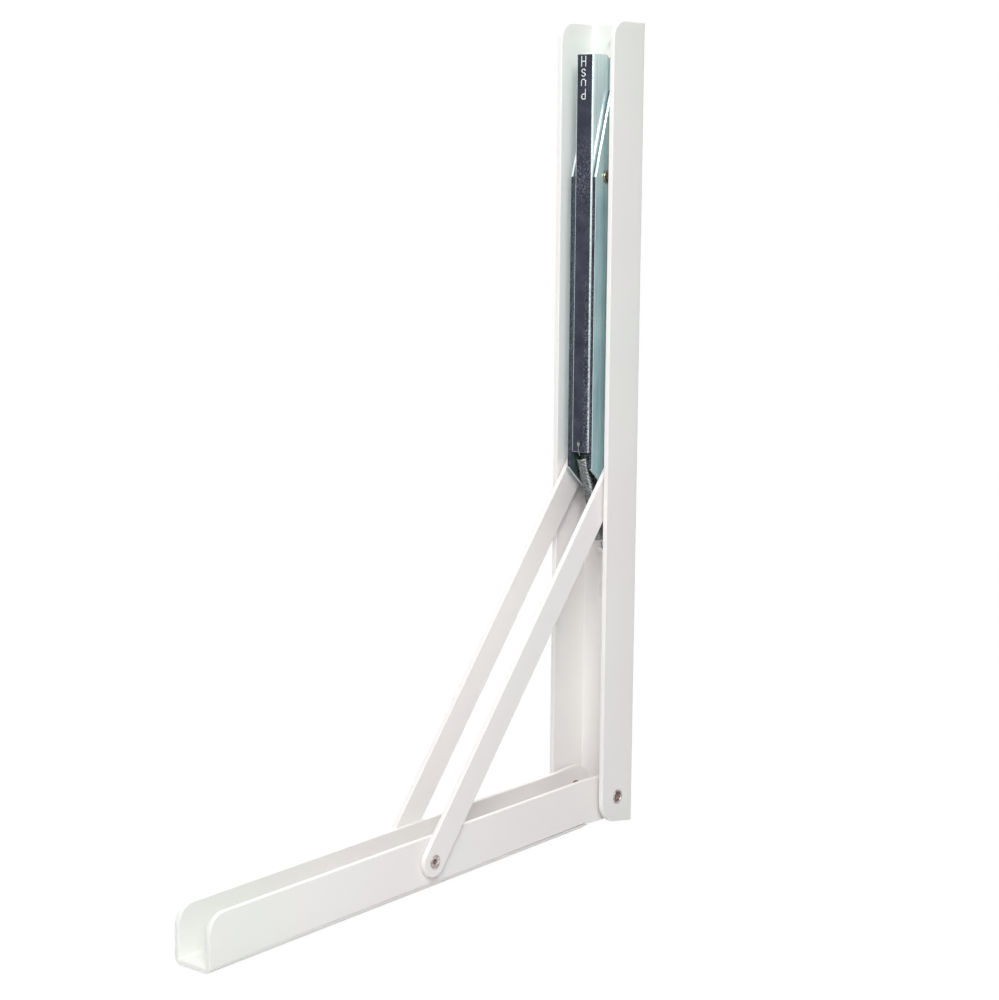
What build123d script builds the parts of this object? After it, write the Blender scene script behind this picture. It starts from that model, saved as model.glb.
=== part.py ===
"""Folding shelf bracket: a long rail, a short arm that folds up into it, and two
braces whose tops slide in a guide housing and are freed by a push lever.

Frame, in mm: +Z runs up the long rail, x = 0 is the outer face of the rail's web,
z = 0 its lower end, y = 0 the middle plane. The arm points along -X.
Front pieces lie at -Y, rear pieces at +Y.
"""
import os
from math import atan2, cos, radians, sin, sqrt, tan

from build123d import *

os.makedirs("parts", exist_ok=True)

# Fits between pieces
running_gap = 0.30        # air between two pieces that move past each other
pin_clearance = 0.08      # radial play of a pin in the hole it turns in
head_gap = 0.10           # air under the head of a rivet that lets a plate turn
overcut = 1.0             # how far cutters run past the sheet they cut

# Long rail, a folded channel that opens towards -X
rail_length = 404.0
rail_width = 34.0
rail_depth = 27.3
rail_sheet = 2.5
rail_bend = 0.6           # inner bend radius
rail_corner = 8.6         # rounded top corners of its flanges
rail_half = rail_width / 2
rail_inner = rail_half - rail_sheet

# Main pivot, shared by the rail and the short arm
pivot_x = -14.4
pivot_z = 15.0
pivot_shank_r = 3.2
pivot_bore_r = 2.6
pivot_head_r = 3.75
pivot_head_height = 0.5
pivot_washer = 2.0        # washer between each flange of the rail and of the arm
pivot_washer_r = 6.5
rail_toe_r = rail_depth + pivot_x     # the rail's rounded toe runs round the pivot

# Across the bracket the pieces lie inside one another: rail, braces, arm, housing, lever
brace_sheet = 2.5
stub_head_height = 0.8    # riveted end of the pin in the top of a brace
brace_outer = rail_inner - running_gap - stub_head_height
brace_inner = brace_outer - brace_sheet

# Short arm, a folded channel that opens upwards
arm_length = 295.5        # from the rail's back to the arm's free end
arm_base_z = 1.2          # underside of its web
arm_sheet = 2.4
arm_bend = 0.6
arm_corner = 9.0
arm_half = brace_inner - running_gap
arm_inner = arm_half - arm_sheet
ear_r = -rail_sheet - running_gap - pivot_x
ear_outer = rail_inner - pivot_washer - running_gap
ear_inner = ear_outer - arm_sheet
step_start = 33.4         # where the flanges step outwards, from the rail's back
step_end = 20.4
step_angle = atan2(ear_inner - arm_inner, step_start - step_end)
arm_web_end = 27.0        # inner end of the arm's web, from the rail's back
arm_top_z = pivot_z + ear_r

# Braces, two flat strips between the arm's flanges and the rail's
brace_foot_share = 0.347  # pivot distance along the arm, as a share of the rail's length
brace_pivot_x = pivot_x - brace_foot_share * rail_length
brace_pivot_z = pivot_z
brace_width = 14.7
brace_angle = 50.3        # slope of the open brace, in degrees
brace_rivet_r = 2.7
brace_bore_r = 1.3
brace_head_r = 3.35
brace_head_height = 0.5

# Slot that guides the braces' tops, and the cross pin that runs in it
slot_x = -10.6
cross_pin_r = 2.3
slot_bush_r = 3.0
slot_half_width = slot_bush_r + running_gap
fold_range = 88.0         # travel of the arm, in degrees
stub_head_r = 3.6
bush_stand = 0.4          # how far a bush stands out of the housing
clip_r = 4.3
clip_thickness = 0.8

brace_length = (slot_x - brace_pivot_x) / cos(radians(brace_angle))
open_z = brace_pivot_z + brace_length * sin(radians(brace_angle))
folded_foot_x = pivot_x + (brace_pivot_x - pivot_x) * cos(radians(fold_range))
folded_foot_z = pivot_z + (pivot_x - brace_pivot_x) * sin(radians(fold_range))
folded_z = folded_foot_z + sqrt(brace_length**2 - (slot_x - folded_foot_x) ** 2)

# Guide housing, a zinc plated channel on the rail's web
housing_side_gap = 0.6    # air between the housing and the arm folded over it
housing_sheet = 2.0
housing_bend = 0.6
housing_front = -27.9
housing_half = arm_inner - housing_side_gap
housing_inner = housing_half - housing_sheet
housing_back = -rail_sheet
housing_low_front_z = open_z - 3.45      # lower end, cut on a slope
housing_low_slope = 0.886
fulcrum_drop = 74.5       # from the rail's top
fulcrum_z = rail_length - fulcrum_drop
housing_high_front_z = fulcrum_z - 0.5   # upper end, cut on a long slope
housing_high_slope = 3.43
housing_neck_x = -15.5
housing_over_slot = 5.0   # sheet left above the slot
housing_top_z = folded_z + slot_half_width + housing_over_slot
housing_web_notch = 4.65  # how far the web ends below the side walls
housing_corner = 3.0

# Release lever, a slim channel inside the housing
lever_sheet = 1.2
lever_bend = 0.2
lever_front = -28.1
lever_low_z = open_z + 4.55
lever_drop = 15.5                # from the rail's top to the lever's
lever_top_z = rail_length - lever_drop
lever_half = housing_inner - running_gap
lever_inner = lever_half - lever_sheet
lever_back = -14.7               # back edge of its flanges at the push end
lever_waist_back = -18.4         # back edge of its flanges along the middle
lever_nose_gap = 0.4             # air between the nose and the cross pin's path
lever_nose_back = slot_x - cross_pin_r - lever_nose_gap
lever_corner = 3.5
lever_nose_height = 6.0
lever_taper = 10.0               # length of the slope from the nose to the waist
lever_cheek = 22.0               # how far the deep flanges run below the fulcrum
lever_cheek_taper = 16.0
fulcrum_x = -19.1
fulcrum_r = 2.0
fulcrum_head_r = 3.2
fulcrum_head_height = 1.3
fulcrum_head_rounding = 0.5

# Return spring, from the lever's lower end to a tongue on the rail's web
spring_hole_z = lever_low_z + 4.3
spring_hole_r = 1.5
spring_coil_r = 3.2
spring_wire = 0.9
spring_top_loop = 7.5     # from the lever's hole to the first coil
spring_low_loop = 8.2     # from the last coil to the tongue's hole
tongue_drop = 47.45       # below the braces' tops
tongue_z = open_z - tongue_drop
tongue_width = 5.0
tongue_reach = 6.2
tongue_slit = 0.3         # cut along each side of the tongue
tongue_corner = 1.8
tongue_hole_r = 1.1
tongue_hole_x = -6.7

# Screw holes and the rivets that hold the housing
screw_r = 3.25
screw_sink_r = 5.5
rail_screw_below_tongue = 22.4
rail_screw_drop = 12.3    # from the rail's top
arm_screw_inset = 40.5    # from the arm's free end
arm_screw_reach = 60.6    # from the main pivot
rail_screw_z = (tongue_z - rail_screw_below_tongue, rail_length - rail_screw_drop)
arm_screw_x = (-arm_length + arm_screw_inset, pivot_x - arm_screw_reach)
housing_rivet_rise = 30.0         # lowest rivet over the housing's lower end
housing_rivet_over_fulcrum = 15.5
housing_rivet_low_z = housing_low_front_z + housing_rivet_rise
housing_rivet_top_z = fulcrum_z + housing_rivet_over_fulcrum
housing_rivet_z = (
    housing_rivet_low_z,
    (housing_rivet_low_z + housing_rivet_top_z) / 2,
    housing_rivet_top_z,
)
housing_rivet_r = 2.0
housing_rivet_head_r = 3.4
housing_rivet_head_height = 1.2
housing_rivet_flush_r = 3.0


def save(shape, name):
    shape.label = name
    export_step(shape, f"parts/{name}.step")
    print(name, round(shape.volume, 1))


def cylinder_y(x, z, radius, y_from, y_to):
    """Round bar along Y."""
    length = y_to - y_from
    place = Plane(origin=(x, y_from, z), x_dir=(1, 0, 0), z_dir=(0, 1, 0))
    return place * Pos(0, 0, length / 2) * Cylinder(radius, length)


def side_plate(outline, y_from, y_to):
    """Plate between two y values with an outline drawn in the XZ plane."""
    flat = make_face(outline) if not isinstance(outline, Sketch) else outline
    # The XZ plane's own normal points to -Y
    return Pos(0, y_to, 0) * extrude(Plane.XZ * flat, y_to - y_from)


def channel_section(half, depth, sheet, bend):
    """U section that opens along +Y of its own plane, its web's outer face on y = 0."""
    outer = Pos(0, depth / 2) * Rectangle(2 * half, depth)
    outer = fillet(outer.vertices().group_by(Axis.Y)[0], bend + sheet)
    inner_height = depth - sheet
    inner = Pos(0, sheet + inner_height / 2) * Rectangle(2 * (half - sheet), inner_height)
    inner = fillet(inner.vertices().group_by(Axis.Y)[0], bend)
    return outer - inner


def countersunk_hole(axis_place, sheet):
    """Cutter for a screw hole that is sunk from the far side of a sheet.

    The place's z axis points from the outer face into the piece.
    """
    hole = Pos(0, 0, sheet / 2) * Cylinder(screw_r, sheet * 2)
    sink_depth = screw_sink_r - screw_r
    sink = Pos(0, 0, sheet - sink_depth / 2) * Cone(screw_r, screw_sink_r, sink_depth)
    return axis_place * (hole + sink)


def flush_shank(z, length):
    """Shank of a housing rivet with its tapered head flush in the rail's back."""
    taper = housing_rivet_flush_r - housing_rivet_r
    shank = Pos(0, 0, length / 2) * Cylinder(housing_rivet_r, length)
    shank = shank + Pos(0, 0, taper / 2) * Cone(housing_rivet_flush_r, housing_rivet_r, taper)
    return Plane(origin=(0, 0, z), x_dir=(0, 1, 0), z_dir=(-1, 0, 0)) * shank


def round_head(x, z, radius, y_from, y_to, rounding):
    """Disc along Y whose rim is rounded at its y_to face."""
    low, high = sorted((y_from, y_to))
    head = cylinder_y(x, z, radius, low, high)
    rims = head.edges().filter_by(GeomType.CIRCLE).sort_by(Axis.Y)
    return fillet(rims[0] if y_to < y_from else rims[-1], rounding)


def tubular_rivet(x, z, shank_r, bore_r, head_r, head_height, grip_from, grip_to):
    """Hollow rivet along Y with a rolled head on each end of its grip."""
    body = cylinder_y(x, z, shank_r, grip_from, grip_to)
    rounding = head_height * 0.7
    body = body + round_head(x, z, head_r, grip_from, grip_from - head_height, rounding)
    body = body + round_head(x, z, head_r, grip_to, grip_to + head_height, rounding)
    return body - cylinder_y(x, z, bore_r, grip_from - 2 * head_height, grip_to + 2 * head_height)


# ---------------------------------------------------------------- long rail
section = channel_section(rail_half, rail_depth, rail_sheet, rail_bend)
rail_place = Plane(origin=(0, 0, 0), x_dir=(0, 1, 0), z_dir=(0, 0, 1))
rail = extrude(rail_place * section, rail_length)

# Side outline: rounded top corner, toe round the pivot, sole that rises to it
toe_top = (-rail_depth, pivot_z)
toe_low = (pivot_x, pivot_z - rail_toe_r)
toe_mid = (
    pivot_x - rail_toe_r * cos(radians(45)),
    pivot_z - rail_toe_r * sin(radians(45)),
)
rail_outline = Polyline(
    toe_low,
    (-rail_sheet, 0),
    (overcut, 0),
    (overcut, rail_length + overcut),
    (-rail_depth + rail_corner, rail_length + overcut),
    (-rail_depth + rail_corner, rail_length),
)
rail_outline = rail_outline + RadiusArc(
    (-rail_depth + rail_corner, rail_length),
    (-rail_depth, rail_length - rail_corner),
    -rail_corner,
)
rail_outline = rail_outline + Line((-rail_depth, rail_length - rail_corner), toe_top)
rail_outline = rail_outline + ThreePointArc(toe_top, toe_mid, toe_low)
rail = rail & side_plate(rail_outline, -rail_width, rail_width)

for z in rail_screw_z:
    into_rail = Plane(origin=(0, 0, z), x_dir=(0, 1, 0), z_dir=(-1, 0, 0))
    rail = rail - countersunk_hole(into_rail, rail_sheet)
rail = rail - cylinder_y(pivot_x, pivot_z, pivot_shank_r, -rail_width, rail_width)

# Spring tongue: cut free on three sides and bent out of the web
tongue_low_z = tongue_z - rail_sheet / 2
window = Pos(-rail_sheet / 2, 0, tongue_low_z + rail_sheet + tongue_reach / 2)
rail = rail - window * Box(rail_sheet * 2, tongue_width + 2 * tongue_slit, tongue_reach)
tongue = Pos(-rail_sheet - tongue_reach / 2, 0, tongue_z) * Box(
    tongue_reach, tongue_width, rail_sheet
)
tongue = fillet(tongue.edges().filter_by(Axis.Z).group_by(Axis.X)[0], tongue_corner)
tongue_hole = Pos(tongue_hole_x, 0, tongue_z) * Cylinder(tongue_hole_r, rail_sheet * 2)
rail = rail + tongue - tongue_hole
for z in housing_rivet_z:
    rail = rail - flush_shank(z, rail_sheet)
save(rail, "long_rail")

# ---------------------------------------------------------------- guide housing
housing_depth = housing_back - housing_front
section = channel_section(housing_half, housing_depth, housing_sheet, housing_bend)
housing_place = Plane(origin=(housing_back, 0, 0), x_dir=(0, 1, 0), z_dir=(0, 0, 1))
housing = extrude(housing_place * section, rail_length)
low_back_z = housing_low_front_z - housing_low_slope * housing_depth
neck_z = housing_high_front_z + housing_high_slope * (housing_neck_x - housing_front)
outline = Polyline(
    (housing_front, housing_low_front_z),
    (housing_back, low_back_z),
    (housing_back, housing_top_z),
    (housing_neck_x, housing_top_z),
    (housing_neck_x, neck_z),
    (housing_front, housing_high_front_z),
    close=True,
)
outline = make_face(outline)
soft = [
    v
    for v in outline.vertices()
    if v.X < housing_back - 1 and v.Y > housing_low_front_z + 1
]
outline = fillet(soft, housing_corner)
housing = housing & side_plate(Sketch() + outline, -rail_half, rail_half)
notch = Pos(housing_back, 0, housing_top_z - housing_web_notch / 2)
housing = housing - notch * Box(
    2 * (housing_sheet + housing_bend), 2 * housing_inner, housing_web_notch
)
slot_travel = folded_z - open_z
slot = SlotCenterToCenter(slot_travel, 2 * slot_half_width)
slot = Pos(slot_x, (open_z + folded_z) / 2) * Rot(0, 0, 90) * slot
housing = housing - side_plate(Sketch() + slot, -rail_half, rail_half)
housing = housing - cylinder_y(fulcrum_x, fulcrum_z, fulcrum_r, -rail_half, rail_half)
for z in housing_rivet_z:
    hole = Plane(origin=(housing_back, 0, z), x_dir=(0, 1, 0), z_dir=(-1, 0, 0))
    housing = housing - hole * Pos(0, 0, housing_sheet / 2) * Cylinder(
        housing_rivet_r, housing_sheet
    )
save(housing, "guide_housing")

# ---------------------------------------------------------------- housing rivets
rivets = []
for z in housing_rivet_z:
    grip = rail_sheet + housing_sheet
    head = Pos(-grip - housing_rivet_head_height / 2, 0, z) * Rot(0, 90, 0) * Cylinder(
        housing_rivet_head_r, housing_rivet_head_height
    )
    head = fillet(head.edges().group_by(Axis.X)[0], housing_rivet_head_height * 0.8)
    rivets.append(flush_shank(z, grip) + head)
save(Compound(rivets), "housing_rivets")

# ---------------------------------------------------------------- release lever
lever_depth = lever_back - lever_front
section = channel_section(lever_half, lever_depth, lever_sheet, lever_bend)
lever_place = Plane(origin=(lever_front, 0, 0), x_dir=(0, -1, 0), z_dir=(0, 0, 1))
lever = extrude(lever_place * section, rail_length)
waist_top_z = fulcrum_z - lever_cheek
nose_top_z = lever_low_z + lever_nose_height
outline = Polyline(
    (lever_front, lever_low_z),
    (lever_nose_back, lever_low_z),
    (lever_nose_back, nose_top_z),
    (lever_waist_back, nose_top_z + lever_taper),
    (lever_waist_back, waist_top_z - lever_cheek_taper),
    (lever_back, waist_top_z),
    (lever_back, lever_top_z),
    (lever_front, lever_top_z),
    close=True,
)
outline = make_face(outline)
push_corner = outline.vertices().filter_by(lambda v: v.X > lever_back - 0.1 and v.Y > lever_top_z - 1)
outline = fillet(push_corner, lever_corner)
# The nose reaches further back than the blank, so the blank grows by that much
nose_reach = lever_nose_back - lever_back
nose_height = lever_nose_height + lever_taper
if nose_reach > 0:
    for side in (-1, 1):
        middle = side * (lever_half - lever_sheet / 2)
        nose_middle = Pos(lever_back + nose_reach / 2, middle, lever_low_z + nose_height / 2)
        lever = lever + nose_middle * Box(nose_reach, lever_sheet, nose_height)
lever = lever & side_plate(Sketch() + outline, -rail_half, rail_half)
lever = lever - cylinder_y(
    fulcrum_x, fulcrum_z, fulcrum_r + pin_clearance, -rail_half, rail_half
)
spring_hole = Plane(origin=(lever_front, 0, spring_hole_z), x_dir=(0, 1, 0), z_dir=(1, 0, 0))
lever = lever - spring_hole * Cylinder(spring_hole_r, 4 * lever_sheet)
save(lever, "release_lever")

# ---------------------------------------------------------------- fulcrum pin
fulcrum = cylinder_y(fulcrum_x, fulcrum_z, fulcrum_r, -housing_half, housing_half)
for side in (-1, 1):
    head_end = side * (housing_half + fulcrum_head_height)
    fulcrum = fulcrum + round_head(
        fulcrum_x, fulcrum_z, fulcrum_head_r, side * housing_half, head_end, fulcrum_head_rounding
    )
save(fulcrum, "lever_pin")

# ---------------------------------------------------------------- return spring
spring_top = Vector(lever_front + lever_sheet / 2, 0, spring_hole_z)
spring_low = Vector(tongue_hole_x, 0, tongue_z)
spring_way = (spring_low - spring_top).normalized()
spring_side = Vector(spring_way.Z, 0, -spring_way.X)    # square to the coil, towards the front
coil_start = spring_top + spring_way * spring_top_loop
coil_end = spring_low - spring_way * spring_low_loop
coil_length = (coil_end - coil_start).length
coil_place = Plane(origin=coil_start, x_dir=(0, 1, 0), z_dir=spring_way)
coil = coil_place * Pos(0, 0, coil_length / 2) * (
    Cylinder(spring_coil_r, coil_length)
    - Cylinder(spring_coil_r - spring_wire, coil_length - 2 * spring_wire)
)
# The upper loop leaves the coil at its front, passes before the lever's edge and in at the hole
wire_r = spring_wire / 2
loop_x = lever_front - wire_r - running_gap
upper_loop = Spline(
    coil_start + spring_side * (spring_coil_r - wire_r) + spring_way * wire_r,
    Vector(loop_x, 0, lever_low_z - 1.2),
    Vector(loop_x, 0, spring_hole_z - 1.8),
    Vector(lever_front + lever_sheet / 2, 0, spring_hole_z + 0.4),
    Vector(lever_front + lever_sheet + 1.2, 0, spring_hole_z - 0.6),
)
lower_loop = Spline(
    coil_end - spring_way * wire_r,
    spring_low + Vector(-0.3, 0, 1.0),
    spring_low + Vector(0.1, 0, -2.0),
)
for loop in (upper_loop, lower_loop):
    wire_end = Plane(origin=loop @ 0, z_dir=loop % 0)
    coil = coil + sweep(wire_end * Circle(wire_r), path=loop)
save(coil, "return_spring")

# ---------------------------------------------------------------- short arm
arm_depth = arm_top_z - arm_base_z
arm_run = arm_length - step_start
section = channel_section(arm_half, arm_depth, arm_sheet, arm_bend)
arm_place = Plane(origin=(-arm_length, 0, arm_base_z), x_dir=(0, 1, 0), z_dir=(1, 0, 0))
arm = extrude(arm_place * section, arm_run)

# The web runs on under the step, between the flanges
web_run = step_start - arm_web_end
arm = arm + Pos(-step_start + web_run / 2, 0, arm_base_z + arm_sheet / 2) * Box(
    web_run, 2 * (arm_inner - arm_bend), arm_sheet
)

# Flanges step outwards to the washers, seen from above; their sheet keeps its thickness,
# so the outer corners of the step lie a little before the inner ones
step_skew = arm_sheet * tan(step_angle / 2)
for side in (-1, 1):
    plan = Polyline(
        (-step_start, side * arm_inner),
        (-step_end, side * ear_inner),
        (0, side * ear_inner),
        (0, side * ear_outer),
        (-step_end - step_skew, side * ear_outer),
        (-step_start - step_skew, side * arm_half),
        (-step_start, side * arm_half),
        close=True,
    )
    ear = extrude(Plane.XY * make_face(plan), arm_depth * 2)
    ear_root = step_start + step_skew + pivot_x
    ear_outline = Pos(pivot_x, pivot_z) * Circle(ear_r)
    ear_outline = ear_outline + Pos(pivot_x - ear_root / 2, pivot_z) * Rectangle(
        ear_root, 2 * ear_r
    )
    arm = arm + (ear & side_plate(Sketch() + ear_outline, -rail_width, rail_width))

end_edges = arm.edges().filter_by(Axis.Y).group_by(Axis.X)[0].group_by(Axis.Z)[-1]
arm = fillet(end_edges, arm_corner)
arm = arm - cylinder_y(pivot_x, pivot_z, pivot_shank_r + pin_clearance, -rail_width, rail_width)
arm = arm - cylinder_y(brace_pivot_x, brace_pivot_z, brace_rivet_r, -rail_width, rail_width)
for x in arm_screw_x:
    into_arm = Plane(origin=(x, 0, arm_base_z), x_dir=(1, 0, 0), z_dir=(0, 0, 1))
    arm = arm - countersunk_hole(into_arm, arm_sheet)
save(arm, "short_arm")

# ---------------------------------------------------------------- pivot rivets and washers
for side, name in ((-1, "front"), (1, "rear")):
    low, high = sorted((side * ear_inner, side * rail_half))
    pivot_rivet = tubular_rivet(
        pivot_x, pivot_z, pivot_shank_r, pivot_bore_r, pivot_head_r, pivot_head_height, low, high
    )
    save(pivot_rivet, f"pivot_rivet_{name}")

    low, high = sorted((side * (ear_outer + running_gap), side * rail_inner))
    washer = cylinder_y(pivot_x, pivot_z, pivot_washer_r, low, high)
    washer = washer - cylinder_y(
        pivot_x, pivot_z, pivot_shank_r, low - overcut, high + overcut
    )
    save(washer, f"pivot_washer_{name}")

    low, high = sorted((side * arm_inner, side * (brace_outer + head_gap)))
    brace_rivet = tubular_rivet(
        brace_pivot_x,
        brace_pivot_z,
        brace_rivet_r,
        brace_bore_r,
        brace_head_r,
        brace_head_height,
        low,
        high,
    )
    save(brace_rivet, f"brace_rivet_{name}")

# ---------------------------------------------------------------- braces and their pins
for side, name in ((-1, "front"), (1, "rear")):
    strip = SlotCenterToCenter(brace_length, brace_width)
    middle = ((brace_pivot_x + slot_x) / 2, (brace_pivot_z + open_z) / 2)
    strip = Pos(*middle) * Rot(0, 0, brace_angle) * strip
    low, high = sorted((side * brace_inner, side * brace_outer))
    brace = side_plate(Sketch() + strip, low, high)
    brace = brace - cylinder_y(
        brace_pivot_x,
        brace_pivot_z,
        brace_rivet_r + pin_clearance,
        low - overcut,
        high + overcut,
    )
    brace = brace - cylinder_y(slot_x, open_z, cross_pin_r, low - overcut, high + overcut)
    save(brace, f"brace_{name}")

    stub = cylinder_y(slot_x, open_z, cross_pin_r, low, high)
    low, high = sorted((side * brace_outer, side * (brace_outer + stub_head_height)))
    stub = stub + cylinder_y(slot_x, open_z, stub_head_r, low, high)
    save(stub, f"brace_pin_{name}")

# ---------------------------------------------------------------- slider
# The pin's ends stop short of the braces: the loop of links is open at this joint
pin_end = brace_inner - running_gap
cross_pin = cylinder_y(slot_x, open_z, cross_pin_r, -pin_end, pin_end)
save(cross_pin, "cross_pin")
for side, name in ((-1, "front"), (1, "rear")):
    low, high = sorted((side * housing_inner, side * (housing_half + bush_stand)))
    bush = cylinder_y(slot_x, open_z, slot_bush_r, low, high)
    bush = bush - cylinder_y(slot_x, open_z, cross_pin_r, low - overcut, high + overcut)
    save(bush, f"slot_bush_{name}")
    clip_from = housing_half + bush_stand
    low, high = sorted((side * clip_from, side * (clip_from + clip_thickness)))
    clip = cylinder_y(slot_x, open_z, clip_r, low, high)
    clip = clip - cylinder_y(slot_x, open_z, cross_pin_r, low - overcut, high + overcut)
    save(clip, f"pin_clip_{name}")

print("open_z", round(open_z, 3), "slot travel", round(slot_travel, 3))
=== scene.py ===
import math

import bmesh
import bpy
import numpy as np
from mathutils import Matrix, Vector


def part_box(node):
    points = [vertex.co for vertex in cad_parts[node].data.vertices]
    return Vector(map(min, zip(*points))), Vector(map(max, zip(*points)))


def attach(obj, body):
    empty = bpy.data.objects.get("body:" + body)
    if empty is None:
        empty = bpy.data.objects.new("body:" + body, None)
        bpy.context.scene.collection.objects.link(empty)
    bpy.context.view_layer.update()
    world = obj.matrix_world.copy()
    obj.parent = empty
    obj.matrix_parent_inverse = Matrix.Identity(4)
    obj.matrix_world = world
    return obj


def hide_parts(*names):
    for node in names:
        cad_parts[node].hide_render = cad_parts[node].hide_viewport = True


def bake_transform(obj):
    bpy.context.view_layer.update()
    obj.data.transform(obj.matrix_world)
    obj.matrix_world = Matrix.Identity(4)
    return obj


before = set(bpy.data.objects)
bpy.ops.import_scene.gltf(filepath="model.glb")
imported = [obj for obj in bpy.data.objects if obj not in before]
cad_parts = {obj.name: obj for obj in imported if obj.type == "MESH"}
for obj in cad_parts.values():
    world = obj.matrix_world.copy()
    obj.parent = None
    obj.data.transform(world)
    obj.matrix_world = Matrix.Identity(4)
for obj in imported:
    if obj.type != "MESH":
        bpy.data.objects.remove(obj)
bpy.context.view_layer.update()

mm = 0.001
print("frame loaded:", len(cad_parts), "nodes")


def hexToLinear(code):
    # sRGB hex to linear light, with alpha 1
    channels = [int(code[i:i + 2], 16) / 255 for i in (1, 3, 5)]
    linear = [c / 12.92 if c <= 0.04045 else ((c + 0.055) / 1.055) ** 2.4 for c in channels]
    return (*linear, 1.0)


def addNode(tree, kind, settings=None, links=None):
    # adds one node; settings go to sockets by name or number, or to the node's own fields
    node = tree.nodes.new(kind)
    for name, value in (settings or {}).items():
        if isinstance(name, int) or name in node.inputs:
            node.inputs[name].default_value = value
        else:
            setattr(node, name, value)
    for name, source in (links or {}).items():
        tree.links.new(source, node.inputs[name])
    return node


def newMaterial(name):
    material = bpy.data.materials.new(name)
    material.use_nodes = True
    tree = material.node_tree
    shader = tree.nodes["Principled BSDF"]
    place = addNode(tree, "ShaderNodeTexCoord").outputs["Object"]
    return material, tree, shader, place


def mottle(tree, place, size, detail=3.0):
    # soft noise whose patches are about size metres across
    return addNode(tree, "ShaderNodeTexNoise", {"Scale": 1.0 / size, "Detail": detail},
                   {"Vector": place}).outputs["Fac"]


def stretched(tree, place, sizes):
    # the coordinate divided by a size in metres along each axis, which noise of scale 1 then has
    return addNode(tree, "ShaderNodeMapping", {"Scale": [1.0 / s for s in sizes]},
                   {"Vector": place}).outputs["Vector"]


def rampColour(tree, factor, stops):
    ramp = addNode(tree, "ShaderNodeValToRGB", links={"Fac": factor})
    while len(ramp.color_ramp.elements) < len(stops):
        ramp.color_ramp.elements.new(0.5)
    for element, (position, code) in zip(ramp.color_ramp.elements, stops):
        element.position = position
        element.color = hexToLinear(code)
    return ramp.outputs["Color"]


def rampValue(tree, factor, low, high, fromLow=0.3, fromHigh=0.7):
    return addNode(tree, "ShaderNodeMapRange",
                   {"From Min": fromLow, "From Max": fromHigh, "To Min": low, "To Max": high},
                   {"Value": factor}).outputs["Result"]


def mixed(tree, factor, first, second):
    # first colour where factor is 0, second where it is 1
    mix = addNode(tree, "ShaderNodeMix", {"data_type": "RGBA"})
    tree.links.new(factor, mix.inputs["Factor"])
    tree.links.new(first, mix.inputs[6])
    tree.links.new(second, mix.inputs[7])
    return mix.outputs[2]


def bumped(tree, height, strength, distance):
    return addNode(tree, "ShaderNodeBump", {"Strength": strength, "Distance": distance},
                   {"Height": height}).outputs["Normal"]


# Materials: each is made by a function of its own, with patterns sized in millimetres

def makePowderCoat():
    # Polyester powder coat on steel: baked, semi-gloss white with a faint orange peel
    material, tree, shader, place = newMaterial("polyesterPowderCoatWhite")
    tint = mottle(tree, place, 110 * mm, 1.0)
    tree.links.new(rampColour(tree, tint, [(0.36, "#f5f1f0"), (0.5, "#f6f4f2"), (0.64, "#f3f5f1")]),
                   shader.inputs["Base Color"])
    # orange peel: waves about 1.6 mm apart and a few microns high
    peel = mottle(tree, place, 1.6 * mm, 1.0)
    tree.links.new(rampValue(tree, tint, 0.34, 0.42), shader.inputs["Roughness"])
    tree.links.new(bumped(tree, peel, 0.25, 0.02 * mm), shader.inputs["Normal"])
    shader.inputs["IOR"].default_value = 1.5
    return material


def makeBlueZinc(name, shades, metal):
    # Electroplated zinc, blue passivated: cool metal with a cloudy green-blue cast and vertical
    # streaks of painted reflection. metal is the share of light that is mirrored; the plating's
    # crystals scatter the rest
    material, tree, shader, place = newMaterial(name)
    cloud = mottle(tree, place, 22 * mm, 4.0)
    body = rampColour(tree, cloud, list(zip((0.34, 0.52, 0.68), shades)))
    # painted reflection: vertical streaks about 0.5 mm wide and 60 mm long that darken the colour
    reflectionStreak = mottle(tree, stretched(tree, place, (0.5 * mm, 0.5 * mm, 60 * mm)), 1.0, 2.0)
    streakReflectionColour = rampColour(tree, reflectionStreak, [(0.40, "#93b0b6"), (0.52, "#ffffff")])
    both = addNode(tree, "ShaderNodeMix",
                   {"data_type": "RGBA", "blend_type": "MULTIPLY", "Factor": 0.35})
    tree.links.new(body, both.inputs[6])
    tree.links.new(streakReflectionColour, both.inputs[7])
    tree.links.new(both.outputs[2], shader.inputs["Base Color"])
    grain = mottle(tree, place, 0.5 * mm, 2.0)
    tree.links.new(rampValue(tree, grain, 0.14, 0.24), shader.inputs["Roughness"])
    tree.links.new(bumped(tree, grain, 0.15, 0.005 * mm), shader.inputs["Normal"])
    shader.inputs["Metallic"].default_value = metal
    return material


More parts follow.
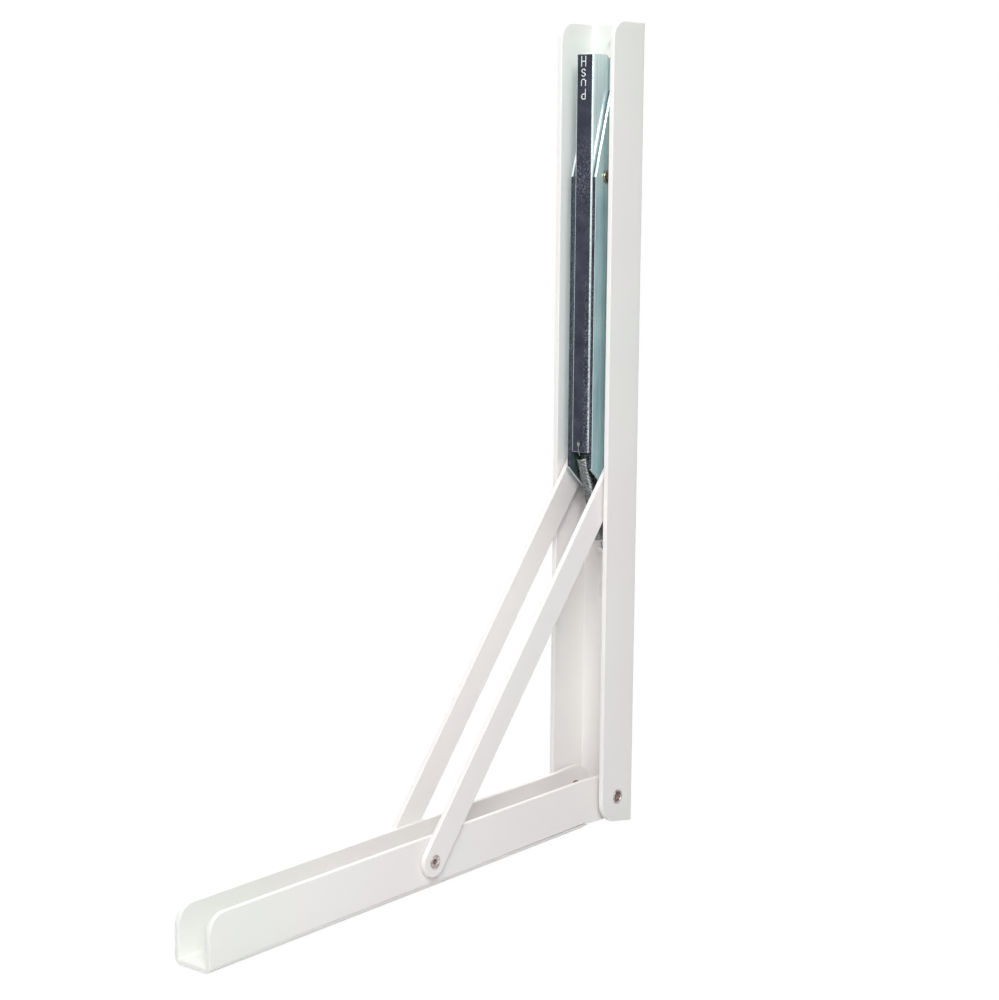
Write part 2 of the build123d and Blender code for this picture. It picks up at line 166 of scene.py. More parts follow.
def makeDarkReflectionZinc():
    # Bright zinc on cold rolled strip for the lever's web: its dark violet colour is a painted dark
    # reflection, with specks and rolling lines
    material, tree, shader, place = newMaterial("brightZincPaintedDarkReflection")
    cloud = mottle(tree, place, 9 * mm, 5.0)
    body = rampColour(tree, cloud, [(0.3, "#353741"), (0.55, "#40434f"), (0.75, "#4d4f59")])
    # specks about 0.45 mm across, crowded round the lever's pin and thin elsewhere
    speck = mottle(tree, stretched(tree, place, (0.45 * mm, 0.45 * mm, 0.7 * mm)), 1.0, 2.0)
    height = addNode(tree, "ShaderNodeSeparateXYZ", links={"Vector": place}).outputs["Z"]
    crowd = rampValue(tree, height, 0.0, 1.0, 308 * mm, 328 * mm)
    thin = rampValue(tree, height, 1.0, 0.0, 333 * mm, 350 * mm)
    zone = addNode(tree, "ShaderNodeMath", {"operation": "MULTIPLY"})
    tree.links.new(crowd, zone.inputs[0])
    tree.links.new(thin, zone.inputs[1])
    # and in a strip along the near bend, low down
    lower = rampValue(tree, height, 1.0, 0.0, 250 * mm, 300 * mm)
    breadth = addNode(tree, "ShaderNodeSeparateXYZ", links={"Vector": place}).outputs["Y"]
    strip = rampValue(tree, breadth, 1.0, 0.0, -2.4 * mm, -1.4 * mm)
    corner = addNode(tree, "ShaderNodeMath", {"operation": "MULTIPLY"}, {0: lower, 1: strip})
    most = addNode(tree, "ShaderNodeMath", {"operation": "MAXIMUM"},
                   {0: zone.outputs[0], 1: corner.outputs[0]})
    amount = rampValue(tree, most.outputs[0], 0.06, 0.5, 0.0, 1.0)
    light = rampColour(tree, speck, [(0.38, "#22232c"), (0.52, "#40424f"), (0.66, "#9498a3")])
    tree.links.new(mixed(tree, amount, body, light), shader.inputs["Base Color"])
    tree.links.new(rampValue(tree, speck, 0.18, 0.34), shader.inputs["Roughness"])
    tree.links.new(bumped(tree, speck, 0.3, 0.01 * mm), shader.inputs["Normal"])
    shader.inputs["Metallic"].default_value = 1.0
    return material


def makePaintedHighlightZinc(name, fades):
    # The same zinc, painted bright as a highlight on bends, cut edges and letters; where it fades,
    # the painted highlight on the near bend gives way lower down to dark specks
    material, tree, shader, place = newMaterial(name)
    cloud = mottle(tree, stretched(tree, place, (0.5 * mm, 0.5 * mm, 0.9 * mm)), 1.0, 3.0)
    finish = rampColour(tree, cloud, [(0.3, "#c8d8dc"), (0.6, "#ecf3f4")])
    if fades:
        fadedHighlightColour = rampColour(tree, cloud, [(0.42, "#4d4a5c"), (0.6, "#c3cbd4")])
        apart = addNode(tree, "ShaderNodeSeparateXYZ", links={"Vector": place})
        low = rampValue(tree, apart.outputs["Z"], 1.0, 0.0, 190 * mm, 320 * mm)
        near = rampValue(tree, apart.outputs["Y"], 1.0, 0.0, -2 * mm, 2 * mm)
        both = addNode(tree, "ShaderNodeMath", {"operation": "MULTIPLY"}, {0: low, 1: near})
        finish = mixed(tree, both.outputs[0], finish, fadedHighlightColour)
    tree.links.new(finish, shader.inputs["Base Color"])
    tree.links.new(rampValue(tree, cloud, 0.20, 0.34), shader.inputs["Roughness"])
    shader.inputs["Metallic"].default_value = 1.0
    return material


def makeSlopeHighlightZinc():
    # Sloping cut edge, painted bright as a highlight but for a dark rim along its inner side
    material, tree, shader, place = newMaterial("zincSlopePaintedHighlight")
    breadth = addNode(tree, "ShaderNodeSeparateXYZ", links={"Vector": place}).outputs["Y"]
    out = addNode(tree, "ShaderNodeMath", {"operation": "ABSOLUTE"}, {0: breadth}).outputs[0]
    tree.links.new(rampColour(tree, rampValue(tree, out, 0.0, 1.0, 6.2 * mm, 6.8 * mm),
                              [(0.2, "#4a5a62"), (0.6, "#e6eff0")]), shader.inputs["Base Color"])
    cloud = mottle(tree, stretched(tree, place, (0.5 * mm, 0.5 * mm, 0.9 * mm)), 1.0, 3.0)
    tree.links.new(rampValue(tree, cloud, 0.20, 0.34), shader.inputs["Roughness"])
    shader.inputs["Metallic"].default_value = 1.0
    return material


def makeEdgeDarkReflectionZinc():
    # Sheared front edge of the housing's sheet, zinc plated and rough: its dark violet colour is a
    # painted dark reflection, with bright specks
    material, tree, shader, place = newMaterial("edgeZincPaintedDarkReflection")
    speck = mottle(tree, stretched(tree, place, (0.35 * mm, 0.35 * mm, 0.5 * mm)), 1.0, 2.0)
    body = rampColour(tree, speck, [(0.40, "#27262f"), (0.54, "#403f4c"), (0.70, "#8d93a0")])
    tree.links.new(body, shader.inputs["Base Color"])
    tree.links.new(rampValue(tree, speck, 0.30, 0.50), shader.inputs["Roughness"])
    tree.links.new(bumped(tree, speck, 0.5, 0.02 * mm), shader.inputs["Normal"])
    shader.inputs["Metallic"].default_value = 1.0
    return material


def makeYellowZinc():
    # Yellow chromated zinc: thin iridescent gold film on turned steel
    material, tree, shader, place = newMaterial("yellowChromatedZinc")
    cloud = mottle(tree, place, 2.5 * mm, 3.0)
    body = rampColour(tree, cloud, [(0.3, "#857b66"), (0.55, "#aaa082"), (0.75, "#a49ca0")])
    tree.links.new(body, shader.inputs["Base Color"])
    tree.links.new(rampValue(tree, cloud, 0.22, 0.36), shader.inputs["Roughness"])
    shader.inputs["Metallic"].default_value = 1.0
    return material


def makeNickel():
    # Nickel plated rivet steel: warm grey, glossy, a little scuffed where the head was rolled
    material, tree, shader, place = newMaterial("nickelPlatedRivetSteel")
    cloud = mottle(tree, place, 1.1 * mm, 4.0)
    tree.links.new(rampColour(tree, cloud, [(0.3, "#887b77"), (0.5, "#b5a8a4"), (0.7, "#d6cbc8")]),
                   shader.inputs["Base Color"])
    tree.links.new(rampValue(tree, cloud, 0.16, 0.34), shader.inputs["Roughness"])
    tree.links.new(bumped(tree, cloud, 0.3, 0.03 * mm), shader.inputs["Normal"])
    shader.inputs["Metallic"].default_value = 0.6
    return material


def makeSpringWire():
    # Hard drawn spring wire: dull grey with fine drawing marks
    material, tree, shader, place = newMaterial("hardDrawnSpringWire")
    cloud = mottle(tree, place, 1.2 * mm, 3.0)
    tree.links.new(rampColour(tree, cloud, [(0.3, "#6d7173"), (0.7, "#a3a6a6")]),
                   shader.inputs["Base Color"])
    tree.links.new(rampValue(tree, cloud, 0.24, 0.38), shader.inputs["Roughness"])
    shader.inputs["Metallic"].default_value = 1.0
    return material


powderCoat = makePowderCoat()
blueZinc = makeBlueZinc("bluePassivatedZinc", ("#bcd8dd", "#c9e5e9", "#d8efee"), 0.4)
# painted light: a lighter copy of the blue zinc, for the lever's flanges
litCopyZinc = makeBlueZinc("bluePassivatedZincPaintedLight", ("#d3e4e4", "#deeceb", "#e6f0ee"), 0.2)
# painted shade: a darker copy of the blue zinc for the faces inside the housing's hollow
shadedInsideZinc = makeBlueZinc("bluePassivatedZincPaintedShade", ("#7f9896", "#8fa8a5", "#9cb3ae"), 0.7)
darkReflectionZinc = makeDarkReflectionZinc()
highlightZinc = makePaintedHighlightZinc("zincPaintedHighlight", False)
bendHighlightZinc = makePaintedHighlightZinc("zincPaintedBendHighlight", True)
slopeHighlightZinc = makeSlopeHighlightZinc()
edgeDarkReflectionZinc = makeEdgeDarkReflectionZinc()
yellowZinc = makeYellowZinc()
nickel = makeNickel()
springWire = makeSpringWire()
print("materials ready")


# CAD nodes that keep their own mesh and only get a better finish
nodeFinish = {
    "housing_rivets": blueZinc, "pivot_washer_front": blueZinc, "pivot_washer_rear": blueZinc,
    "brace_pin_front": blueZinc, "brace_pin_rear": blueZinc, "cross_pin": blueZinc,
    "slot_bush_front": yellowZinc, "slot_bush_rear": yellowZinc,
    "pin_clip_front": springWire, "pin_clip_rear": springWire,
}
for nodeName, finish in nodeFinish.items():
    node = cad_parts[nodeName]
    node.data.materials.clear()
    node.data.materials.append(finish)


# Helpers that new pieces share

def addPiece(name, vertices, faces, finish, body, node, slot, smoothAngle=35):
    # puts a finished mesh in the scene at the origin, riding on its body in place of its CAD node
    mesh = bpy.data.meshes.new(name)
    mesh.from_pydata(vertices, [], faces)
    mesh.validate()
    for material in finish if isinstance(finish, (list, tuple)) else [finish]:
        mesh.materials.append(material)
    mesh.shade_smooth()
    mesh.set_sharp_from_angle(angle=math.radians(smoothAngle))
    piece = bpy.data.objects.new(name, mesh)
    bpy.context.collection.objects.link(piece)
    if body:
        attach(piece, body)
    if node:
        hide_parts(node)
    return piece


def gridFaces(rows, columns, wrapRows=False, wrapColumns=False):
    # quads of a rows x columns grid of points numbered row by row, closed round where asked
    i = np.arange(rows if wrapRows else rows - 1)[:, None]
    j = np.arange(columns if wrapColumns else columns - 1)[None, :]
    iNext, jNext = (i + 1) % rows, (j + 1) % columns
    corners = [i * columns + j, i * columns + jNext, iNext * columns + jNext, iNext * columns + j]
    return np.stack(np.broadcast_arrays(*corners), axis=-1).reshape(-1, 4)


def revolve(profile, axisX, axisZ, steps):
    # surface of revolution about a line along Y: each profile point (r, y) runs round the circle
    # x = axisX + r cos a, z = axisZ + r sin a
    r, y = np.array(profile, float).T
    a = np.linspace(0, 2 * np.pi, steps, endpoint=False)
    x = axisX + r[:, None] * np.cos(a)
    z = axisZ + r[:, None] * np.sin(a)
    return np.stack([x, np.broadcast_to(y[:, None], x.shape), z], axis=-1).reshape(-1, 3)


def smoothPath(points, count):
    # a curve through the given points: cubic Hermite pieces whose slopes are half the step between
    # the neighbours on either side (Catmull-Rom)
    p = np.array(points, float)
    padded = np.vstack([2 * p[0] - p[1], p, 2 * p[-1] - p[-2]])
    s = np.linspace(0, len(p) - 1, count)
    k = np.minimum(s.astype(int), len(p) - 2)
    t = (s - k)[:, None]
    a, b, c, d = padded[k], padded[k + 1], padded[k + 2], padded[k + 3]
    return 0.5 * (2 * b + (c - a) * t + (2 * a - 5 * b + 4 * c - d) * t**2
                  + (3 * b - a - 3 * c + d) * t**3)


def tube(path, radius, across, sides, flatten=1.0, tip=0.6):
    # a round wire along a path: circles square to the path's direction, measured from the steady
    # direction "across" and flattened that way; closed by a point at both ends, tip radii out
    p = np.array(path, float)
    along = np.gradient(p, axis=0)
    along /= np.linalg.norm(along, axis=1, keepdims=True)
    up = np.broadcast_to(np.array(across, float), p.shape)
    up = up - (up * along).sum(1, keepdims=True) * along
    up /= np.linalg.norm(up, axis=1, keepdims=True)
    side = np.cross(along, up)
    a = np.linspace(0, 2 * np.pi, sides, endpoint=False)
    ring = (up[:, None] * (np.cos(a) * flatten)[None, :, None]
            + side[:, None] * np.sin(a)[None, :, None])
    points = p[:, None] + radius * ring
    body = points.reshape(-1, 3)
    faces = [list(f) for f in gridFaces(len(p), sides, wrapColumns=True)]
    first, last = len(body), len(body) + 1
    ends = np.vstack([p[0] - along[0] * radius * tip, p[-1] + along[-1] * radius * tip])
    i = np.arange(sides)
    j = (i + 1) % sides
    top = (len(p) - 1) * sides
    faces += [[first, int(m), int(n)] for m, n in zip(j, i)]
    faces += [[last, int(top + n), int(top + m)] for m, n in zip(j, i)]
    return np.vstack([body, ends]), faces


def cleaned(vertices, faces, weld=0.0005 * mm):
    # merges points that coincide, such as a pole's, and turns the closed shell's faces outwards
    work = bmesh.new()
    rough = bpy.data.meshes.new("rough")
    rough.from_pydata(vertices, [], faces)
    work.from_mesh(rough)
    bpy.data.meshes.remove(rough)
    bmesh.ops.remove_doubles(work, verts=work.verts, dist=weld)
    bmesh.ops.recalc_face_normals(work, faces=work.faces)
    work.verts.index_update()
    result = [v.co[:] for v in work.verts], [[v.index for v in f.verts] for f in work.faces]
    work.free()
    return result


# Folded and cut sheet, with the edges that the coating and the press leave. frontX parts the
# front faces of the housing and the lever from what lies behind, bendX does so for the lever's
# bends, and insideY is the half width of the housing's hollow; angles are in degrees
sheetSet = {"coatedEdge": 0.4 * mm, "platedEdge": 0.16 * mm, "edgeSteps": 2, "weld": 0.002 * mm,
            "flatAngle": 0.4, "sharpAngle": 38, "frontX": -27.6 * mm, "bendX": -26.4 * mm,
            "insideY": 5.9 * mm}


def softenedCopy(nodeName, pieceName, body, slot, finish, edge, crisp,
                 chooseFinish=None, edgeFinish=-1):
    # the CAD node's own shape: a copy with its doubles merged and its flat faces made whole, whose
    # sharp edges are then rounded by a Bevel of radius edge; edges that reach into a crisp box
    # (x low, x high, z low, z high in mm) stay as they are
    work = bmesh.new()
    work.from_mesh(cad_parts[nodeName].data)
    bmesh.ops.remove_doubles(work, verts=work.verts, dist=sheetSet["weld"])
    bmesh.ops.dissolve_limit(work, angle_limit=math.radians(sheetSet["flatAngle"]),
                             verts=work.verts, edges=work.edges)
    work.verts.index_update()
    vertices = [v.co[:] for v in work.verts]
    faces = [[v.index for v in f.verts] for f in work.faces]
    limit = math.radians(sheetSet["sharpAngle"])
    sharp = [sorted(v.index for v in e.verts) for e in work.edges
             if len(e.link_faces) == 2 and e.calc_face_angle() > limit]
    work.free()
    piece = addPiece(pieceName, vertices, faces, finish, body, nodeName, slot)
    mesh = piece.data
    ends = np.empty(len(mesh.edges) * 2, dtype=np.int64)
    mesh.edges.foreach_get("vertices", ends)
    ends = np.sort(ends.reshape(-1, 2), axis=1)
    places = np.array(vertices)[:, (0, 2)] / mm
    near = np.zeros(len(vertices), dtype=bool)
    for box in np.reshape(crisp, (-1, 2, 2)):
        near |= ((places > box[:, 0]) & (places < box[:, 1])).all(axis=1)
    # an edge's two ends a < b are one number, a * count + b, to find the sharp ones among them all
    key = (len(vertices), 1)
    chosen = np.isin(ends @ key, np.array(sharp) @ key) & ~near[ends].any(axis=1)
    weight = mesh.attributes.new("bevel_weight_edge", "FLOAT", "EDGE")
    weight.data.foreach_set("value", chosen.astype(np.float32))
    if chooseFinish:
        normals = np.empty(len(mesh.polygons) * 3)
        centres = np.empty(len(mesh.polygons) * 3)
        mesh.polygons.foreach_get("normal", normals)
        mesh.polygons.foreach_get("center", centres)
        finishes = chooseFinish(normals.reshape(-1, 3), centres.reshape(-1, 3))
        mesh.polygons.foreach_set("material_index", finishes.astype(np.int32))
    bevel = piece.modifiers.new("roundedEdges", "BEVEL")
    bevel.width = edge
    bevel.segments = sheetSet["edgeSteps"]
    bevel.limit_method = "WEIGHT"
    bevel.use_clamp_overlap = False
    bevel.harden_normals = True
    bevel.material = edgeFinish
    return piece


for nodeName, pieceName, body, crisp in (
        ("long_rail", "rail_folded_channel", "rail",
         [(-3, -2, -0.5, 0.5), (-1, 1, 115, 122), (-1, 1, 388, 395)]),
        ("short_arm", "arm_folded_channel", "arm",
         [(-33.9, -32.9, 0.7, 4.1), (-79, -71, 0, 2), (-259, -251, 0, 2)]),
        ("brace_front", "brace_strip_front", "braces", []),
        ("brace_rear", "brace_strip_rear", "braces", [])):
    softenedCopy(nodeName, pieceName, body, "powder_coat", powderCoat, sheetSet["coatedEdge"],
                 crisp)


def housingFinish(normal, centre):
    # 0 plated face, 1 sheared front edge with painted dark reflection, 2 slope with painted
    # highlight, 3 inside with painted shade
    front = (normal[:, 0] < -0.9) & (centre[:, 0] < sheetSet["frontX"])
    slope = (normal[:, 0] < -0.3) & (np.abs(normal[:, 2]) > 0.15)
    inside = (np.abs(centre[:, 1]) < sheetSet["insideY"]) & (normal[:, 0] < 0.9)
    return np.where(front, 1, np.where(slope, 2, np.where(inside, 3, 0)))


def leverFinish(normal, centre):
    # 0 flange, with painted light; 1 outer face of the web, with painted dark reflection; 2 the
    # outer bends and the ends of the sheet, with painted highlight, which reaches further round the
    # bend on the +Y side
    limit = np.where(centre[:, 1] > 0, -0.97, -0.9)
    web = (normal[:, 0] < limit) & (centre[:, 0] < sheetSet["frontX"])
    bend = (normal[:, 0] < -0.7) & (centre[:, 0] < sheetSet["bendX"]) & ~web
    end = np.abs(normal[:, 2]) > 0.9
    return np.where(web, 1, np.where(bend | end, 2, 0))


# faces of the housing and the lever take painted light by their direction and place, and their
# bevelled edges take finish 2, the painted highlight
softenedCopy("guide_housing", "housing_folded_channel", "rail", "zinc",
             [blueZinc, edgeDarkReflectionZinc, slopeHighlightZinc, shadedInsideZinc],
             sheetSet["platedEdge"], [(-5, -2, 383.5, 384.5)], housingFinish, 2)
softenedCopy("release_lever", "lever_folded_channel", "lever", "dark_zinc",
             [litCopyZinc, darkReflectionZinc, bendHighlightZinc],
             sheetSet["platedEdge"], [(-29, -25, 195, 199.6)], leverFinish, 2)
print("sheet pieces ready")


# Rivets and the lever's pin: profiles in mm, as radius and height over the face that the head bears
# on, which is bearing from the middle plane
pivotRivetSet = {
    "inner": [(2.6, -7.2), (2.75, -7.5), (3.0, -7.66), (3.4, -7.66), (3.66, -7.5), (3.74, -7.2),
              (3.2, -7.2)],
    "outer": [(3.2, 0.0), (3.7, 0.0), (3.74, 0.15), (3.62, 0.36), (3.35, 0.48), (3.05, 0.46),
              (2.82, 0.3), (2.66, 0.0), (2.6, -0.5)],
    "bearing": 17.0 * mm, "steps": 72}
braceRivetSet = {
    "inner": [(1.3, -5.3), (1.45, -5.62), (1.8, -5.78), (2.9, -5.78), (3.2, -5.62), (3.32, -5.3),
              (2.7, -5.3)],
    "outer": [(2.7, 0.0), (3.3, 0.0), (3.34, 0.14), (3.22, 0.36), (2.98, 0.48), (2.72, 0.46),
              (2.5, 0.3), (2.3, 0.02), (2.08, -0.12), (1.86, -0.08), (1.66, 0.06), (1.5, 0.06),
              (1.38, -0.06), (1.32, -0.3), (1.3, -0.8)],
    "bearing": 13.5 * mm, "steps": 72}
leverPinSet = {
    "head": [(2.0, 0.0), (3.16, 0.0), (3.2, 0.1), (3.2, 0.8), (3.08, 1.08), (2.78, 1.26),
             (2.4, 1.3), (2.2, 1.2), (2.05, 1.06), (1.6, 1.04), (1.42, 1.16), (1.2, 1.24),
             (0.6, 1.26), (0.3, 1.2), (0.0, 1.16)],
    "bearing": 7.6 * mm, "steps": 64}


def addTubularRivet(pieceName, nodeName, body, rivet):
    # a closed profile turned about the rivet's own line along Y, on the side of the CAD node
    low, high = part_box(nodeName)
    centre = (low + high) / 2
    side = 1 if centre.y > 0 else -1
    profile = rivet["inner"] + rivet["outer"]
    rows = [(r * mm, side * (rivet["bearing"] + h * mm)) for r, h in profile]
    points = revolve(rows, centre.x, centre.z, rivet["steps"])
    faces = gridFaces(len(rows), rivet["steps"], wrapRows=True, wrapColumns=True).tolist()
    return addPiece(pieceName, *cleaned(points, faces), nickel, body, nodeName, "nickel", 60)


for side in ("front", "rear"):
    addTubularRivet(f"rolled_pivot_rivet_{side}", f"pivot_rivet_{side}", "rail", pivotRivetSet)
    addTubularRivet(f"rolled_brace_rivet_{side}", f"brace_rivet_{side}", "arm", braceRivetSet)


def addLeverPin():
    # both heads and the shank are one closed profile from pole to pole
    low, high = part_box("lever_pin")
    centre = (low + high) / 2
    half = [(r * mm, leverPinSet["bearing"] + h * mm) for r, h in leverPinSet["head"]]
    rows = [(r, -y) for r, y in reversed(half)] + half
    points = revolve(rows, centre.x, centre.z, leverPinSet["steps"])
    faces = gridFaces(len(rows), leverPinSet["steps"], wrapColumns=True).tolist()
    addPiece("lever_pin_turned", *cleaned(points, faces), yellowZinc, "rail", "lever_pin",
             "yellow_zinc", 60)


addLeverPin()
print("rivets ready")


# Return spring, between the lever's hole and the rail's tongue. hole and tongue are the middles of
# the two holes, and the loops' lengths run from them to the coil
springSet = {"hole": (-27.5 * mm, 0, 197.284 * mm), "tongue": (-6.7 * mm, 0, 140.984 * mm),
             "coilRadius": 3.2 * mm, "wire": 0.34 * mm, "loopWire": 0.28 * mm, "turns": 58,
             "turnPoints": 20, "topLoop": 7.0 * mm, "lowLoop": 6.4 * mm, "leverFront": -28.1 * mm,
             "lowLoopWay": (0.93, 0.37, 0), "lowLoopRadius": 1.9 * mm, "lowLoopShift": 0.5 * mm}


def addReturnSpring():
    hole, tongue = (np.array(springSet[k]) for k in ("hole", "tongue"))
    way = (tongue - hole) / np.linalg.norm(tongue - hole)
    front = np.array([way[2], 0, -way[0]])
    across = np.array([0, 1.0, 0])
    start = hole + way * springSet["topLoop"]
    end = tongue - way * springSet["lowLoop"]
    radius, wire, turns = (springSet[k] for k in ("coilRadius", "wire", "turns"))
    # coil: start + way * length * u - radius * (front cos a + across sin a), a = 2 pi turns u
    u = np.linspace(0, 1, turns * springSet["turnPoints"] + 1)[:, None]
    a = 2 * np.pi * turns * u
    length = np.linalg.norm(end - start) - 2 * wire
    coil = start + way * (wire + length * u) - radius * (front * np.cos(a) + across * np.sin(a))
    # upper loop: from the back of the first turn over its middle, up before the lever's edge and
    # in at the hole
    x = springSet["leverFront"] - springSet["loopWire"]
    upper = smoothPath([
        coil[0], coil[0] - way * 0.5 * mm + front * 0.9 * mm, start - way * 0.5 * mm,
        start - way * 1.0 * mm + front * 1.9 * mm,
        (x + 0.3 * mm, 0.1 * mm, hole[2] - 4.9 * mm), (x, 0.35 * mm, hole[2] - 2.4 * mm),
        (x + 0.25 * mm, 0.2 * mm, hole[2] - 0.7 * mm), (hole[0] - 0.1 * mm, 0, hole[2] + 0.45 * mm),
        (hole[0] + 1.5 * mm, -0.1 * mm, hole[2] + 0.1 * mm),
        (hole[0] + 2.2 * mm, -0.2 * mm, hole[2] - 1.1 * mm)], 120)
    # lower loop: a long eye from the last turn down through the tongue's hole and back
    flank = np.array(springSet["lowLoopWay"])
    flank = flank - (flank @ way) * way
    flank /= np.linalg.norm(flank)
    wide = springSet["lowLoopRadius"]
    lower = smoothPath([
        coil[-1], end + way * 1.0 * mm + flank * 2.1 * mm, end + way * 2.4 * mm + flank * wide,
        tongue - way * 1.6 * mm + flank * wide * 0.9, tongue - way * 0.1 * mm + flank * wide * 0.3,
        tongue + way * 0.3 * mm - flank * wide * 0.3, tongue - way * 1.2 * mm - flank * wide * 0.95,
        end + way * 2.4 * mm - flank * wide, end + way * 1.2 * mm - flank * wide * 0.8], 120)
    # past its first points, which stay on the coil's end, it lies a little nearer the -Y side
    lower[8:] -= across * springSet["lowLoopShift"]
    points, faces = tube(coil, wire, way, 8)
    for path in (upper, lower):
        morePoints, moreFaces = tube(path, springSet["loopWire"], across, 10)
        faces += [[i + len(points) for i in f] for f in moreFaces]
        points = np.vstack([points, morePoints])
    piece = addPiece("return_spring_coiled", *cleaned(points, faces), springWire, None,
                     "return_spring", "spring_steel", 180)
    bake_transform(piece)


addReturnSpring()
print("spring ready")


# Letters stamped up in the lever's web; they read when the bracket hangs the other way up. span is
# each letter's lowest and highest z in mm
letterSet = {"stroke": 0.25 * mm, "rise": 0.45, "middleY": 0.62 * mm, "width": 2.45 * mm,
             "faceX": -28.1 * mm,
             "span": {"P": (366.9, 371.7), "U": (373.2, 376.4), "S": (377.8, 381.2),
                      "H": (382.5, 387.5)}}
# strokes of each letter in a unit square, x to the right and y up
letterStrokes = {
    "P": [[(0, 0), (0, 0.5), (0, 1)],
          [(0, 1), (0.35, 1), (0.72, 0.97), (0.97, 0.77), (0.72, 0.54), (0.35, 0.5), (0, 0.5)]],
    "U": [[(0, 1), (0, 0.7), (0, 0.38), (0.14, 0.1), (0.5, 0), (0.86, 0.1), (1, 0.38), (1, 0.7),
           (1, 1)]],
    "S": [[(0.95, 0.8), (0.72, 0.97), (0.36, 0.98), (0.07, 0.78), (0.28, 0.56), (0.7, 0.45),
           (0.94, 0.22), (0.66, 0.02), (0.3, 0.02), (0.04, 0.2)]],
    "H": [[(0, 0), (0, 0.5), (0, 1)], [(1, 0), (1, 0.5), (1, 1)], [(0, 0.5), (0.5, 0.5), (1, 0.5)]]}


def addLetters():
    # each stroke is a flattened tube half sunk in the web; the letters are turned half round
    points, faces = np.zeros((0, 3)), []
    for letter, strokes in letterStrokes.items():
        low, high = letterSet["span"][letter]
        for stroke in strokes:
            flat = smoothPath([(x, y, 0) for x, y in stroke], 14 * len(stroke))
            y = letterSet["middleY"] + (flat[:, 0] - 0.5) * letterSet["width"]
            z = (high - flat[:, 1] * (high - low)) * mm
            path = np.stack([np.full_like(y, letterSet["faceX"]), y, z], axis=-1)
            morePoints, moreFaces = tube(path, letterSet["stroke"], (1, 0, 0), 10,
                                         letterSet["rise"])
            faces += [[i + len(points) for i in f] for f in moreFaces]
            points = np.vstack([points, morePoints])
    # the letters take the painted highlight, brighter than the web they are stamped in
    addPiece("lever_stamped_word", *cleaned(points, faces), highlightZinc, "lever", None,
             "dark_zinc", 180)


addLetters()
print("letters ready")


# Stage, light and camera: places and sizes in metres, powers in watts, the camera's turns in
# radians and its lens and sensor in mm
stageSet = {"floorZ": -0.3 * mm, "floorSize": 6.0, "lift": 0.94, "glow": 1.03, "fadeFrom": 0.45,
            "fadeTo": 0.9, "lightsFace": (-0.12, 0, 0.18)}
lightSet = {"world": 0.13,
            "key": {"at": (-1.08, -0.84, 1.08), "size": 0.7, "power": 19.8},
            "rightFill": {"at": (-0.55, -1.2, 0.5), "size": 0.6, "power": 0.4},
            "leftFill": {"at": (-1.0, 0.5, 0.5), "size": 1.0, "power": 0.5},
            "top": {"at": (-0.3, 0.3, 1.4), "size": 0.8, "power": 4.0},
            "backFill": {"at": (0.45, 0.95, 1.0), "size": 0.8, "power": 9.0},
            "lowFill": {"at": (-0.35, -0.6, 0.06), "size": 0.3, "power": 0.2}}
cameraSet = {"at": (-0.88829, -0.63481, 0.33436), "yaw": 0.673, "pitch": 0.154, "roll": 0.008,
             "lens": 77.5, "sensor": 36.0}


def seenShare(tree, *rays):
    # 1 for the kinds of ray named, 0 for the light that falls on the object
    path = addNode(tree, "ShaderNodeLightPath")
    share = path.outputs[rays[0]]
    for name in rays[1:]:
        share = addNode(tree, "ShaderNodeMath", {"operation": "MAXIMUM"},
                        {0: share, 1: path.outputs[name]}).outputs[0]
    return share


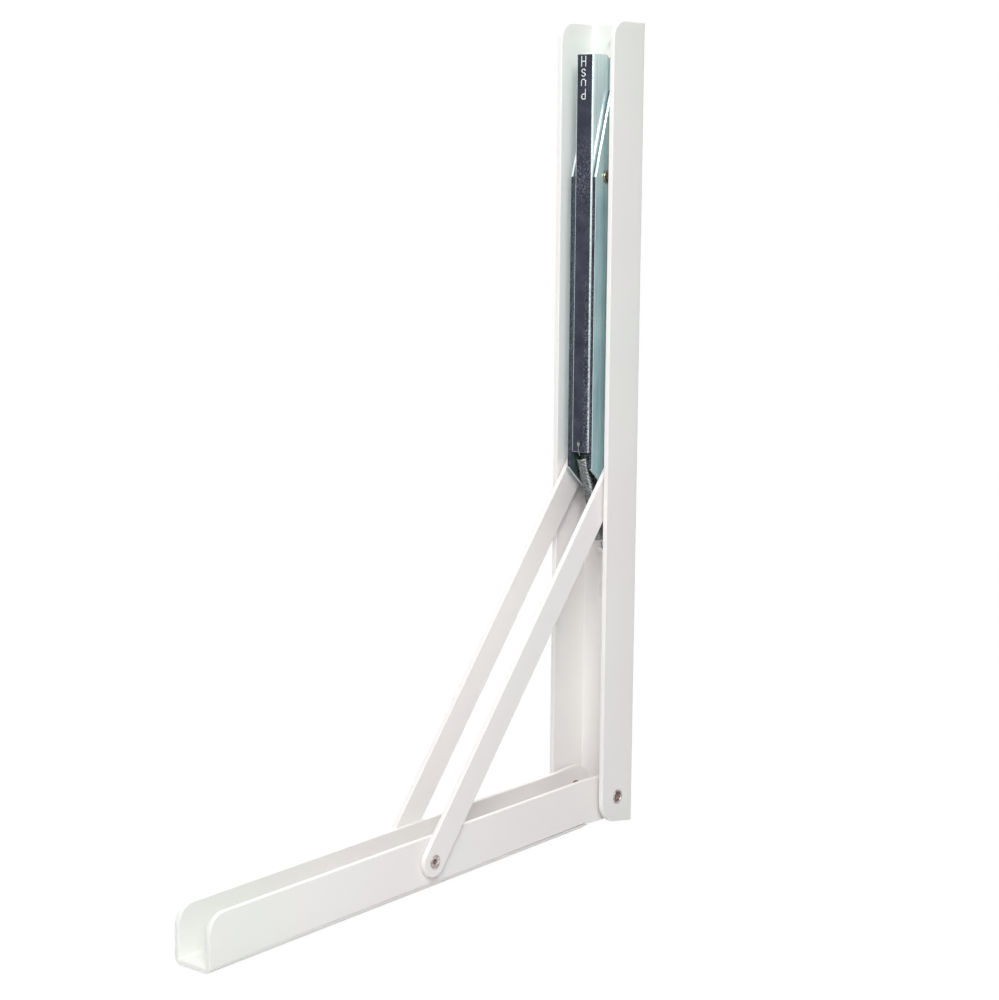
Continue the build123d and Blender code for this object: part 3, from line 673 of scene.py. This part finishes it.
def makeStage():
    half = stageSet["floorSize"] / 2
    z = stageSet["floorZ"]
    mesh = bpy.data.meshes.new("studioFloor")
    corners = [(-half, -half, z), (half, -half, z), (half, half, z), (-half, half, z)]
    mesh.from_pydata(corners, [], [(0, 1, 2, 3)])
    floor = bpy.data.objects.new("studioFloor", mesh)
    bpy.context.collection.objects.link(floor)
    material, tree, shader, place = newMaterial("paperSweepWhite")
    # light falls on matt white paper; to the eye most of it is lifted to white, with a faint
    # shadow left, and it fades into the white backdrop further out
    shader.inputs["Base Color"].default_value = hexToLinear("#dcdcdc")
    shader.inputs["Roughness"].default_value = 0.9
    shader.inputs["Specular IOR Level"].default_value = 0.0
    glow = addNode(tree, "ShaderNodeEmission", {"Strength": stageSet["glow"]})
    lifted = addNode(tree, "ShaderNodeMixShader", {0: stageSet["lift"]},
                     {1: shader.outputs[0], 2: glow.outputs[0]})
    reach = addNode(tree, "ShaderNodeVectorMath", {"operation": "LENGTH"},
                    {0: place}).outputs["Value"]
    fade = rampValue(tree, reach, 0.0, 1.0, stageSet["fadeFrom"], stageSet["fadeTo"])
    white = addNode(tree, "ShaderNodeEmission", {"Strength": 1.0})
    faded = addNode(tree, "ShaderNodeMixShader",
                    links={0: fade, 1: lifted.outputs[0], 2: white.outputs[0]})
    seen = seenShare(tree, "Is Camera Ray", "Is Glossy Ray", "Is Transmission Ray")
    mix = addNode(tree, "ShaderNodeMixShader",
                  links={0: seen, 1: shader.outputs[0], 2: faded.outputs[0]})
    tree.links.new(mix.outputs[0], tree.nodes["Material Output"].inputs["Surface"])
    mesh.materials.append(material)


def makeWorld():
    world = bpy.data.worlds.new("studioWorld")
    bpy.context.scene.world = world
    world.use_nodes = True
    tree = world.node_tree
    seen = seenShare(tree, "Is Camera Ray", "Is Glossy Ray", "Is Transmission Ray")
    strength = addNode(tree, "ShaderNodeMapRange", {"To Min": lightSet["world"], "To Max": 1.0},
                       {"Value": seen})
    back = tree.nodes["Background"]
    back.inputs["Color"].default_value = (1, 1, 1, 1)
    tree.links.new(strength.outputs["Result"], back.inputs["Strength"])


def addSoftbox(name):
    # square soft light that faces the bracket's middle
    settings = lightSet[name]
    data = bpy.data.lights.new(name + "Softbox", "AREA")
    data.size = settings["size"]
    data.energy = settings["power"]
    lamp = bpy.data.objects.new(name + "Softbox", data)
    bpy.context.collection.objects.link(lamp)
    lamp.location = settings["at"]
    way = Vector(stageSet["lightsFace"]) - lamp.location
    lamp.rotation_euler = way.to_track_quat("-Z", "Y").to_euler()


def addCamera():
    # yaw turns it about Z from +X, pitch tips it down, and roll turns it about its line of sight
    data = bpy.data.cameras.new("camera")
    data.lens = cameraSet["lens"]
    data.sensor_width = cameraSet["sensor"]
    data.clip_start = 0.01
    camera = bpy.data.objects.new("camera", data)
    bpy.context.collection.objects.link(camera)
    yaw, pitch, roll = (cameraSet[k] for k in ("yaw", "pitch", "roll"))
    forward = Vector((math.cos(yaw) * math.cos(pitch), math.sin(yaw) * math.cos(pitch),
                      -math.sin(pitch)))
    level = forward.cross(Vector((0, 0, 1))).normalized()
    upright = level.cross(forward)
    right = math.cos(roll) * level + math.sin(roll) * upright
    up = -math.sin(roll) * level + math.cos(roll) * upright
    turn = Matrix((right, up, -forward)).transposed()
    camera.matrix_world = Matrix.Translation(cameraSet["at"]) @ turn.to_4x4()
    bpy.context.scene.camera = camera


makeStage()
makeWorld()
for name in ("key", "rightFill", "leftFill", "top", "backFill", "lowFill"):
    addSoftbox(name)
addCamera()
bpy.context.scene.view_settings.view_transform = "Standard"
print("stage, light and camera ready")
